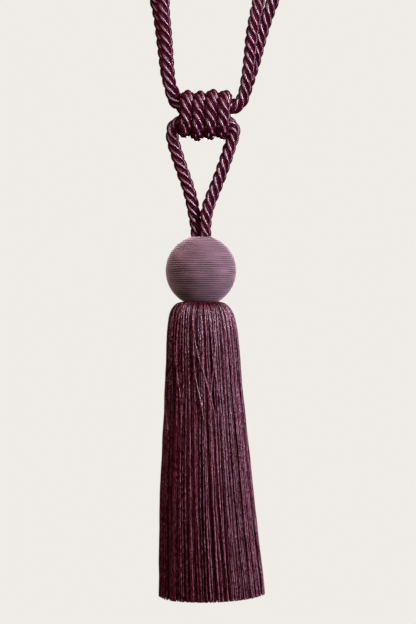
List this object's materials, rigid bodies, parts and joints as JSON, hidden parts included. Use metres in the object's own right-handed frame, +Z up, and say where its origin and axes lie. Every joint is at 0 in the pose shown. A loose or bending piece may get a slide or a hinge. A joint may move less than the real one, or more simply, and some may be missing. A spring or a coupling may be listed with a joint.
{
  "type": "curtain tieback tassel",
  "caption": "Curtain tieback: twisted satin tie rope with a coil knot and two hanging loops, a rope hanger, a thread-wound ball and a long yarn skirt.",
  "frame": {"origin": "middle of the rope at the crown of the left hanging loop", "axes": "+Z up, -Y towards the viewer of the front, +X to the right of the front; the tassel hangs along -Z"},
  "size_m": [0.1308, 0.0744, 0.4731],
  "materials": {
    "tie_rope": "twisted four-strand satin viscose rope, plum",
    "hanging_loop": "twisted four-strand satin viscose rope, plum",
    "ball": "bead wound with fine matt thread, dusty mauve",
    "skirt": "loose satin viscose yarn, plum"
  },
  "bodies": {
    "root": {"tie_rope": "tie_rope", "hanging_loop": "hanging_loop", "ball": "ball", "skirt": "skirt"}
  },
  "joints": []
}
